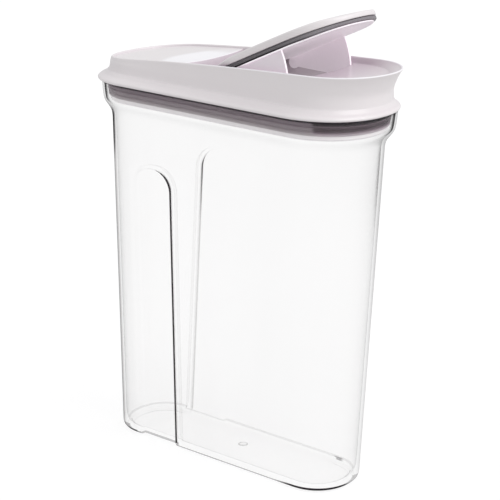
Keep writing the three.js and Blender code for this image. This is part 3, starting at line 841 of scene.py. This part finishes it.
SHELL_STEPS = 5
# Rounded lip: half width, front, rear, height above the rim line
LIP_ROWS = [
    (41.93, 124.35, -114.35, -0.45), (41.7, 124.2, -114.1, -0.12), (41.35, 123.85, -113.75, 0.0),
    (40.95, 123.45, -113.35, -0.03), (40.62, 123.1, -113.0, -0.2), (40.42, 122.7, -112.8, -0.55),
]
# Inner side of the rim down to the deck: share of the drop, half width, front, rear
SEAT_ROWS = [
    (0.28, 40.2, 121.0, -112.6), (0.45, 40.0, 118.9, -112.4), (0.62, 39.92, 116.6, -112.25),
    (0.8, 39.9, 114.6, -112.2), (0.9, 39.8, 113.5, -112.1), (0.975, 39.55, 113.0, -111.85),
    (1.0, 39.2, 112.5, -111.5),
]
DISH = Outline(39.3, 112.6, -111.6, 39.3, 35.2)     # where the deck's hollow runs out
DECK_DROP = {"front": 4.7, "side": 4.7, "rear": 1.6}    # deck edge below the rim line

ZONES = ["front" if i <= LID_SEGMENTS else "side" if x >= POCKET_X0 else "rear"
         for i, (x, _, _) in enumerate(lid_ring(LID))]


def shell_rings():
    curve = pchip(range(len(SHELL_ROWS)), SHELL_ROWS)
    rings = []
    for k in range((len(SHELL_ROWS) - 1) * SHELL_STEPS + 1):
        *outline, level, rim_share = curve(k / SHELL_STEPS)
        rings.append(lid_ring(Outline(*outline), lambda x: level + rim_share * rim(x)))
    for half, front, rear, rise in LIP_ROWS:
        outline = Outline(half, front, rear, half, half - 4.0)
        rings.append(lid_ring(outline, lambda x: rim(x) + rise))
    return rings


def seat_rings():
    rings = []
    for share, half, front, rear in SEAT_ROWS:
        ring = lid_ring(Outline(half, front, rear, half, half - 4.1))
        least = 0.75 if share < 0.3 else 0.0
        rings.append([(x, y, rim(x) - max(least, DECK_DROP[zone] * share))
                      for (x, y, _), zone in zip(ring, ZONES)])
    return rings


def dish_half(x):
    if x < DISH.rear + DISH.rear_end:
        return DISH.half * end_taper((DISH.rear + DISH.rear_end - x) / DISH.rear_end)
    return DISH.half * end_taper((x - DISH.front + DISH.front_end) / DISH.front_end)


def deck(x, y, zone):
    """Height of the deck, hollowed ahead of and behind the pocket."""
    across = max(0.0, 1 - min(1.0, abs(y) / max(dish_half(x), 1e-3)) ** 2)
    hollow = 0.0
    if zone == "rear":
        hollow = 2.1 * clamp01((x + 92) / 52) ** 1.4
    elif zone == "front":
        hollow = mix(1.9, 0.3, clamp01((x - POCKET_X1) / 42))
    return rim(x) - DECK_DROP[zone] - hollow * across


def pocket_edge(seat):
    """Where each point of the seat ring meets the edge of the pocket."""
    rear = [i for i, zone in enumerate(ZONES) if zone == "rear"]
    lengths = [0.0]
    for a, b in zip(rear, rear[1:]):
        lengths.append(lengths[-1] + math.dist(seat[a][:2], seat[b][:2]))
    along = dict(zip(rear, lengths))
    edge = []
    for i, (x, y, _) in enumerate(seat):
        if ZONES[i] == "front":
            edge.append((POCKET_X1, POCKET_Y * (-1 + 2 * i / LID_SEGMENTS)))
        elif ZONES[i] == "side":
            edge.append((x, math.copysign(POCKET_Y, y)))
        else:
            share = along[i] / lengths[-1]
            edge.append((POCKET_X0, (POCKET_Y - 0.25) * (1 - 2 * share)))
    return edge


def deck_ring(seat, edge, share, grow):
    """The seat ring drawn in by a share towards the pocket's edge, which is widened by grow."""
    ring = []
    for (x, y, _), (edge_x, edge_y), zone in zip(seat, edge, ZONES):
        if zone == "front":
            edge_x += grow
        elif zone == "rear":
            edge_x -= grow
        else:
            edge_y += math.copysign(grow, edge_y)
        x, y = mix(x, edge_x, share), mix(y, edge_y, share)
        ring.append((x, y, deck(x, y, zone)))
    return ring


def pocket_ring(edge, grow, height):
    plan = []
    for (x, y), zone in zip(edge, ZONES):
        if zone == "side":
            x = min(max(x, POCKET_X0 - grow), POCKET_X1 + grow)
            y = math.copysign(POCKET_Y + grow, y)
        else:
            x += grow if zone == "front" else -grow
            y *= (POCKET_Y + grow) / POCKET_Y
        plan.append((x, y))
    return lifted(plan, height)


def neck_rings(edge, start):
    """Down the pocket's wall from the start ring, round the neck's lower edge and up outside."""
    rings = [[(x, y, mix(z, NECK_Z + 0.6, t)) for x, y, z in start] for t in (0.25, 0.5, 0.75)]
    for grow, rise in ((0.0, 0.5), (0.15, 0.12), (0.5, 0.0),
                       (NECK_WALL - 0.5, 0.0), (NECK_WALL - 0.12, 0.15), (NECK_WALL, 0.5)):
        rings.append(pocket_ring(edge, grow, NECK_Z + rise))
    top = pocket_ring(edge, NECK_WALL, lambda x: rim(x) - CEILING - 0.6)
    rings.append([(x, y, mix(NECK_Z + 0.5, z, 0.5)) for x, y, z in top])
    rings.append(top)
    return rings


def lining_rings(edge):
    """The lid's ceiling from the neck outwards, then the inside of the skirt."""
    inside = pocket_ring(edge, NECK_WALL + 0.6, 0.0)
    outside = lid_ring(Outline(40.2, 112.6, -112.2, 40.2, 36.2))
    rings = []
    for k in range(5):
        plan = [(mix(a[0], b[0], k / 4), mix(a[1], b[1], k / 4)) for a, b in zip(inside, outside)]
        rings.append(lifted(plan, lambda x: rim(x) - CEILING))
    for *outline, height in (
        (43.0, 113.8, -113.8, 43.0, 37.8,
         lambda x: LID_Z + min(7.4, rim(x) - LID_Z - CEILING - 0.8)),
        (46.4, 116.0, -116.0, 46.4, 40.2,
         lambda x: LID_Z + min(4.6, rim(x) - LID_Z - CEILING - 1.6)),
        (48.4, 117.4, -117.4, 48.4, 41.8, LID_Z + 2.6),
        (48.2, 117.2, -117.2, 48.2, 41.6, LID_Z + 0.5),
        (48.5, 117.5, -117.5, 48.5, 41.9, LID_Z + 0.1),
    ):
        rings.append(lid_ring(Outline(*outline), height))
    return rings


def rounded_box(shape, x0, x1, z0, z1, radius):
    """A box across the pocket with rounded edges, as rings stacked upwards."""
    y1 = POCKET_Y + 0.6

    def ring(inset, z):
        corner_r = max(radius - inset * 0.3, 0.05)
        front, rear, side = x1 - inset, x0 + inset, y1 - inset
        corners = [(rear, -side), (front, -side), (front, side), (rear, side)]
        return lifted(fillet([(x, y, corner_r) for x, y in corners]), z)

    steps = [(radius * (1 - math.sin(a)), radius * (1 - math.cos(a))) for a in quarter(4)]
    shape.rings([ring(inset, z0 + rise) for inset, rise in steps]
                + [ring(inset, z1 - rise) for inset, rise in reversed(steps)])


def scoop_highlight(x, y, z):
    """Share of painted highlight at a point of the rear deck: the thumb scoop's sheen, its crisp
    front edge and the rim.
    """
    if z > rim(x) - 0.5:
        return smooth((x + 40) / 70)        # painted highlight: the rim catches light towards the pouring end
    if POCKET_X0 - 0.75 < x <= POCKET_X0 + 0.05 and z > rim(x) - 4.5 and abs(y) < 35:
        return 1.0                          # painted highlight on the crisp front edge of the scoop
    if x > POCKET_X0 - 0.3 or z < rim(x) - 7 or z > rim(x) - 1.3 or abs(y) > 38.3:
        return 0.0
    return smooth((53 - math.hypot(x + 14, y)) / 6) * (1 - 0.75 * smooth((y - 20) / 12))


def lid_shell():
    """One closed section: outside, lip, seat, deck, pocket wall, neck, ceiling, skirt."""
    rings = shell_rings() + seat_rings()
    seat = rings[-1]
    edge = pocket_edge(seat)
    for k in range(1, DECK_RINGS + 1):
        rings.append(deck_ring(seat, edge, k / DECK_RINGS, 0.6))
    # Rounding at the pocket's mouth: growth, drop.
    for grow, drop in ((0.38, 0.05), (0.18, 0.18), (0.05, 0.38), (0.0, 0.62)):
        rings.append([(x, y, z - drop) for x, y, z in deck_ring(seat, edge, 1.0, grow)])
    rings += neck_rings(edge, rings[-1])
    rings += lining_rings(edge)
    shape = Shape()
    shape.rings(rings, closed=True)
    # Bar across the pocket, and the pocket's floor behind it.
    rounded_box(shape, BAR_X0, BAR_X1, NECK_Z, BAR_TOP, radius=0.6)
    rounded_box(shape, POCKET_X0 - 0.6, BAR_X0 + 0.8, NECK_Z + 0.02, POCKET_FLOOR, radius=0.4)
    # Painted highlight on the scoop, its edge and the rim, carried as a per-point attribute.
    shape.make("lid_outer_shell", "lid", WHITE, "white_gloss", "lid_shell", sharp_deg=38,
               attributes={"painted_light": [scoop_highlight(*p) for p in shape.verts]})


# ------------------------------------------------------------------ plug frame, seal and pins
# Sections swept round the lid outline: inset, height, corner radius
FRAME_SECTION = [
    (9.7, 263.2, 0.35), (7.0, 263.2, 0.8), (5.9, 264.4, 1.2), (5.9, 277.6, 0.25),
    (2.2, 277.6, 0.3), (2.2, 279.4, 0.4), (9.7, 279.4, 0.4),
]
SEAL_SECTION = [
    (6.1, 266.8, 0.1), (5.1, 266.8, 0.3), (4.7, 267.6, 0.4), (4.7, 269.2, 0.4),
    (5.2, 269.6, 0.3), (5.2, 270.1, 0.3), (4.3, 270.7, 0.4), (4.3, 272.6, 0.4),
    (4.8, 273.1, 0.3), (4.8, 273.6, 0.3), (3.8, 274.3, 0.4), (3.5, 276.5, 0.5),
    (3.9, 277.3, 0.3), (6.1, 277.3, 0.1),
]


def swept_lid_part(section):
    shape = Shape()
    shape.rings([lid_ring(LID.inset(inset), z) for inset, z in section], closed=True)
    return shape


def plug():
    swept_lid_part(fillet(FRAME_SECTION, steps=4)).make(
        "lid_plug_frame", "lid", WHITE_FRAME, "white_satin", "lid_frame", sharp_deg=38)
    swept_lid_part(fillet(SEAL_SECTION, steps=3)).make(
        "lid_plug_seal", "lid", RUBBER, "seal_grey", "lid_seal", sharp_deg=45)


def hinge_pin(name, frame_node, far):
    lo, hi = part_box(frame_node)
    y0, y1 = lo.y / MM, hi.y / MM
    if far:
        y0 = max(y0, PIN_START_Y)
    else:
        y1 = min(y1, -PIN_START_Y)
    profile = [
        (PIN_R - 0.35, y0), (PIN_R - 0.1, y0 + 0.1), (PIN_R, y0 + 0.35),
        (PIN_R, y1 - 0.35), (PIN_R - 0.1, y1 - 0.1), (PIN_R - 0.35, y1),
    ]
    shape = Shape()
    shape.rings([[(HINGE_X + x, y, HINGE_Z + z) for x, z in circle(radius, 40)]
                 for radius, y in profile])
    shape.make(name, "lid", PIN, "pin_plastic", frame_node, sharp_deg=45)


# ------------------------------------------------------------------ flap, drawn shut, then opened
def flap_ring(inset, height, rear=FLAP_REAR, front=FLAP_FRONT, rear_half=FLAP_HALF):
    """Outline with a round front and a straight rear edge with small corners. height is a
    function of x and y."""
    half, rear_half, rear = FLAP_HALF - inset, rear_half - inset, rear + inset
    side_front = front - inset - half
    plan = rounded_end(side_front, half, half, -math.pi / 2, FLAP_SEGMENTS)
    side_steps, back_steps = 26, 24
    side = []
    for i in range(1, side_steps):
        x = mix(side_front, rear + CORNER_R, i / side_steps)
        side.append((x, mix(half, rear_half, smooth((20 - x) / 8.0))))
    side += [(rear + CORNER_R * (1 - math.sin(a)), rear_half - CORNER_R * (1 - math.cos(a)))
             for a in quarter(6)]
    back_half = rear_half - CORNER_R
    plan += side
    plan += [(rear, mix(back_half, -back_half, i / back_steps)) for i in range(1, back_steps)]
    plan += [(x, -y) for x, y in reversed(side)]
    return [(x, y, height(x, y)) for x, y in plan]


def drawn_in(ring, share, height, spine_rear):
    """The ring drawn in by a share towards a stretch of the middle line."""
    drawn = []
    for x, y, _ in ring:
        x = mix(x, min(max(x, spine_rear), 70), share)
        y *= 1 - share
        drawn.append((x, y, height(x, y)))
    return drawn


def cover_half(x):
    round_start = FLAP_FRONT - FLAP_HALF
    if x > round_start:
        return FLAP_HALF * end_taper((x - round_start) / FLAP_HALF)
    return mix(FLAP_HALF, COVER_REAR_HALF, smooth((20 - x) / 8.0))


def cover_top(x, y):
    """Gently crowned ahead, sinking to a hollow at the rear."""
    t = min(1.0, abs(y) / max(cover_half(x), 1e-3))
    crowned = rim(x) + 5.5 - 0.5 * t * t - 1.9 * smooth((x - 88) / 26) ** 2
    hollow = rim(x) - 1.6 - 3.9 * (1 - t * t)
    return mix(crowned, hollow, smooth((26 - x) / (26 - COVER_REAR)))


def cover_low(x, y):
    return mix(rim(x) - 0.2, rim(x) - 9.0, smooth((14 - x) / (14 - COVER_REAR)))


def flap_cover():
    def ring(inset, height):
        return flap_ring(inset, height, rear=COVER_REAR, rear_half=COVER_REAR_HALF)

    def fill(edge, share, height):
        return drawn_in(edge, share, height, spine_rear=-24)

    low_edge = ring(0.9, cover_low)
    rings = [fill(low_edge, share, cover_low) for share in (0.96, 0.8, 0.6, 0.4, 0.2)]
    rings.append(low_edge)
    for inset, rise in ((0.45, 0.1), (0.12, 0.35), (0.0, 0.8)):
        rings.append(ring(inset, lambda x, y: cover_low(x, y) + rise))
    for a in quarter(6):
        drop = COVER_EDGE_R * (1 - math.sin(a))
        rings.append(ring(COVER_EDGE_R * (1 - math.cos(a)), lambda x, y: cover_top(x, y) - drop))
    top_edge = rings[-1]
    for share in (0.04, 0.09, 0.16, 0.24, 0.33, 0.43, 0.54, 0.65, 0.76, 0.87, 0.96):
        rings.append(fill(top_edge, share, cover_top))
    shape = Shape()
    shape.rings(rings, zip_front=FLAP_SEGMENTS)
    shape.opened().make("flap_top_cover", "flap", WHITE, "white_gloss", "flap_cover",
                        sharp_deg=38)


# Two soft lips with a groove between them: inset, height above the rim line, corner radius
GASKET_SECTION = [
    (6.2, -3.7, 0.3), (0.35, -3.7, 0.35), (0.0, -3.1, 0.4), (0.1, -2.6, 0.3), (0.7, -2.2, 0.15),
    (0.7, -1.8, 0.15), (0.1, -1.5, 0.3), (0.0, -1.0, 0.4), (0.25, -0.5, 0.3), (6.2, -0.5, 0.3),
]
# Painted light and shade of the gasket along x
TONE_X = (20, 60, 85, 105, 113)
LOWER_LIP_TONES = (0.0, 0.02, 0.16, 0.42, 0.62)
GROOVE_TONES = (0.40, 0.44, 0.62, 0.82, 0.95)
UPPER_LIP_TONES = (0.24, 0.18, 0.30, 0.50, 0.62)


def gasket_height(x, rise):
    """The gasket thins towards the pouring tip."""
    return rim(x) + mix(rise, -0.75 + (rise + 0.5) * 0.42, smooth((x - 88) / 25))


def gasket_light_and_shade(x, rise):
    """Painted light and shade: upper lip mid grey, groove lighter, lower lip near black; all
    painted grey towards the tip.
    """
    low, groove, top = (float(np.interp(x, TONE_X, tones))
                        for tones in (LOWER_LIP_TONES, GROOVE_TONES, UPPER_LIP_TONES))
    return float(np.interp(rise, (-3.7, -2.9, -2.3, -1.6, -1.1, -0.5),
                           (low, low, groove, groove, top, top)))


def flap_gasket():
    rings, tones = [], []
    for inset, rise in fillet(GASKET_SECTION, steps=3):
        ring = flap_ring(inset, lambda x, y: gasket_height(x, rise), front=FLAP_FRONT - 0.2)
        rings.append(ring)
        tones += [gasket_light_and_shade(x, rise) for x, _, _ in ring]
    shape = Shape()
    shape.rings(rings, closed=True)
    shape.opened().make("flap_gasket", "flap", FLAP_RUBBER, "seal_grey", "flap_seal",
                        sharp_deg=45, attributes={"painted_light": tones})


# Edge of the chute's plate and the foot of its island: inset, height above the rim line
PLATE_ROWS = [
    (0.6, -4.62), (0.5, -4.5), (0.5, -4.0), (0.6, -3.85), (0.85, -3.78), (4.6, -3.78),
    (4.8, -3.6),
]


def plate_height(rise):
    """Height along the rim line that lifts towards the tip."""
    return lambda x, y: rim(x) + rise + 0.9 * smooth((x - 85) / 25)


def island_top(x, y):
    return rim(x) + 0.3


def chute_plate(shape):
    """Lip plate with an island inside the gasket; returns its painted highlight."""
    def ring(inset, height):
        return flap_ring(inset, height, rear=PLATE_REAR, front=PLATE_FRONT)

    low = plate_height(-4.65)
    low_edge = ring(0.85, low)
    rings = [drawn_in(low_edge, share, low, spine_rear=30) for share in (0.96, 0.75, 0.5, 0.25)]
    rings.append(low_edge)
    rings += [ring(inset, plate_height(rise)) for inset, rise in PLATE_ROWS]
    island = ring(4.8, island_top)
    rings.append(island)
    rings += [drawn_in(island, share, island_top, spine_rear=30) for share in (0.5, 0.96)]
    shape.rings(rings, zip_front=FLAP_SEGMENTS)
    # Painted highlight: rings 5 to 8 are the plate's outer edge, painted bright.
    return [smooth((x - 26) / 8) if 5 <= k <= 8 else 0.0
            for k, points in enumerate(rings) for x, _, _ in points]


def inset_polygon(points, depth):
    """Each point moved inwards along the average of its two edge normals."""
    area = sum(a[0] * b[1] - b[0] * a[1] for a, b in zip(points, points[1:] + points[:1]))
    turn = 1.0 if area > 0 else -1.0
    moved = []
    for i in range(len(points)):
        before, here, after = (np.array(points[k % len(points)]) for k in (i - 1, i, i + 1))
        normals = []
        for edge in (here - before, after - here):
            edge = edge / (np.linalg.norm(edge) or 1)
            normals.append(np.array((-edge[1], edge[0])) * turn)
        shift = normals[0] + normals[1]
        shift = shift / max(0.5, float(shift @ normals[0]))
        moved.append(tuple(here + shift * depth))
    return moved


def chute_cheeks(shape):
    """Two sector plates centred on the hinge; returns their painted highlight."""
    hub_points, arc_points = 25, 33
    low_angle = math.radians(CHEEK_LOW_DEG)
    top_angle = math.asin((rim(60) - CHEEK_DROP - HINGE_Z) / CHEEK_R)
    arcs = [(CHEEK_HUB_R, math.pi * 0.72 + math.pi * 0.95 * i / (hub_points - 1))
            for i in range(hub_points)]
    arcs += [(CHEEK_R, mix(low_angle, top_angle, i / (arc_points - 1)))
             for i in range(arc_points)]
    polygon = [(HINGE_X - 0.2, rim(HINGE_X) - CHEEK_DROP)]
    polygon += [(HINGE_X + r * math.cos(a), HINGE_Z + r * math.sin(a)) for r, a in arcs]
    polygon += [(x, rim(x) - CHEEK_DROP) for x in (52, 40, 28)]

    # Rounded edges: inset of the outline, distance from the cheek's face.
    steps = [(CHEEK_EDGE_R * (1 - math.sin(a)), CHEEK_EDGE_R * (1 - math.cos(a)))
             for a in quarter(4)]
    rows = [(inset, CHEEK_Y0 + rise) for inset, rise in steps]
    rows += [(inset, CHEEK_Y1 - rise) for inset, rise in reversed(steps)]
    arc = range(1 + hub_points, 1 + hub_points + arc_points)
    tones = []
    for side in (1, -1):
        shape.rings([[(x, side * y, z) for x, z in inset_polygon(polygon, inset)]
                     for inset, y in rows])
        # Painted highlight: the edge along the big arc is painted bright.
        tones += [1.0 if q in arc and 2 <= k <= 7 else 0.0
                  for k in range(len(rows)) for q in range(len(polygon))]
    return tones


def flap_chute():
    shape = Shape()
    tones = chute_plate(shape) + chute_cheeks(shape)
    shape.opened().make("flap_chute_plate", "flap", WHITE_IN, "white_satin", "flap_chute",
                        sharp_deg=38, attributes={"painted_light": tones})


# ------------------------------------------------------------------ floor, light, camera
FLOOR_GAIN = 1.12                   # the floor's reflectance as the camera sees it
FLOOR_RADIUS, FLOOR_Z, FLOOR_SEGMENTS = 9, -0.0003, 64      # metres


def floor_material():
    """Seen brighter than it lights the object, as a sheet lit for a white background is."""
    material = bpy.data.materials.new("pale_floor")
    g = Nodes(material)
    mottle = g.add("TexNoise", {"Vector": g.position(), "Scale": 1.5, "Detail": 2.0})
    colour = g.mix(mottle.outputs["Fac"], (0.67, 0.67, 0.67), (0.69, 0.69, 0.69))
    matt = g.add("BsdfPrincipled", {
        "Roughness": 0.9, "Specular IOR Level": 0.1, "Base Color": colour})
    lit = g.add("BsdfDiffuse", {"Color": (FLOOR_GAIN, FLOOR_GAIN, FLOOR_GAIN)})
    glowing = g.add("Emission", {"Strength": 1.0})
    glow_share = 0.78
    seen = g.mix_shader(glow_share, lit, glowing)
    camera_ray = g.add("LightPath").outputs["Is Camera Ray"]
    surface = g.mix_shader(camera_ray, matt, seen)
    g.add("OutputMaterial", {"Surface": surface.outputs[0]})
    return material


def stage_floor():
    material = floor_material()
    mesh = bpy.data.meshes.new("studio_floor")
    n = FLOOR_SEGMENTS
    verts = [(x, y, FLOOR_Z) for x, y in [(0, 0), *circle(FLOOR_RADIUS, n)]]
    mesh.from_pydata(verts, [], [(0, 1 + i, 1 + (i + 1) % n) for i in range(n)])
    mesh.materials.append(material)
    floor = bpy.data.objects.new("studio_floor", mesh)
    bpy.context.scene.collection.objects.link(floor)


def sun_light(name, towards, strength, angle, colour):
    """A broad, even light; towards points from the object to the light, angle is in degrees."""
    light = bpy.data.lights.new(name, "SUN")
    light.energy = strength
    light.angle = math.radians(angle)
    light.color = colour
    sun = bpy.data.objects.new(name, light)
    bpy.context.scene.collection.objects.link(sun)
    sun.rotation_euler = (-Vector(towards)).to_track_quat("-Z", "Y").to_euler()


def studio_world():
    """White behind the object, and a dimmer, cooler fill on it."""
    world = bpy.data.worlds.new("studio")
    bpy.context.scene.world = world
    g = Nodes(world)
    seen = g.add("Background", {"Strength": 1.01, "Color": (1, 1, 1)})
    fill = g.add("Background", {"Strength": 0.76, "Color": (0.985, 0.985, 1.0)})
    camera_ray = g.add("LightPath").outputs["Is Camera Ray"]
    surface = g.mix_shader(camera_ray, fill, seen)
    g.add("OutputWorld", {"Surface": surface.outputs[0]})


CAMERA_PLACE = (0.77036, -0.96232, 0.5398)      # metres
CAMERA_YAW, CAMERA_PITCH, CAMERA_ROLL = (math.radians(a) for a in (38.815, 17.185, 1.065))


def set_camera():
    """Yaw turns the view from +Y towards -X, pitch looks down, roll tips the frame."""
    forward = Vector((-math.sin(CAMERA_YAW) * math.cos(CAMERA_PITCH),
                      math.cos(CAMERA_YAW) * math.cos(CAMERA_PITCH), -math.sin(CAMERA_PITCH)))
    level = Vector((math.cos(CAMERA_YAW), math.sin(CAMERA_YAW), 0))
    upward = level.cross(forward)
    right = level * math.cos(CAMERA_ROLL) + upward * math.sin(CAMERA_ROLL)
    up = -level * math.sin(CAMERA_ROLL) + upward * math.cos(CAMERA_ROLL)
    data = bpy.data.cameras.new("camera")
    data.sensor_width = 36.0
    data.lens = 125.82
    data.shift_x = 0.02154
    data.clip_start, data.clip_end = 0.05, 50
    camera = bpy.data.objects.new("camera", data)
    bpy.context.scene.collection.objects.link(camera)
    rows = zip(right, up, -forward, CAMERA_PLACE)
    camera.matrix_world = Matrix((*rows, (0, 0, 0, 1)))
    bpy.context.scene.camera = camera


def render_settings():
    scene = bpy.context.scene
    scene.view_settings.view_transform = "Standard"
    scene.view_settings.look = "None"
    scene.view_settings.exposure = 0.0
    scene.view_settings.gamma = 1.0
    # Guards against Cycles being switched off, when the scene has no cycles settings.
    try:
        scene.cycles.transparent_max_bounces = 40
        scene.cycles.max_bounces = 16
    except AttributeError:
        pass


# ------------------------------------------------------------------ build
clear_body()
lid_shell()
plug()
hinge_pin("hinge_pin_far_side", "hinge_pin_left", far=True)
hinge_pin("hinge_pin_near_side", "hinge_pin_right", far=False)
flap_cover()
flap_gasket()
flap_chute()
stage_floor()
sun_light("key_from_above_the_pouring_end", towards=(0.72, 0.08, 0.72), strength=1.42, angle=50,
          colour=(1.0, 0.995, 0.995))
studio_world()
set_camera()
render_settings()
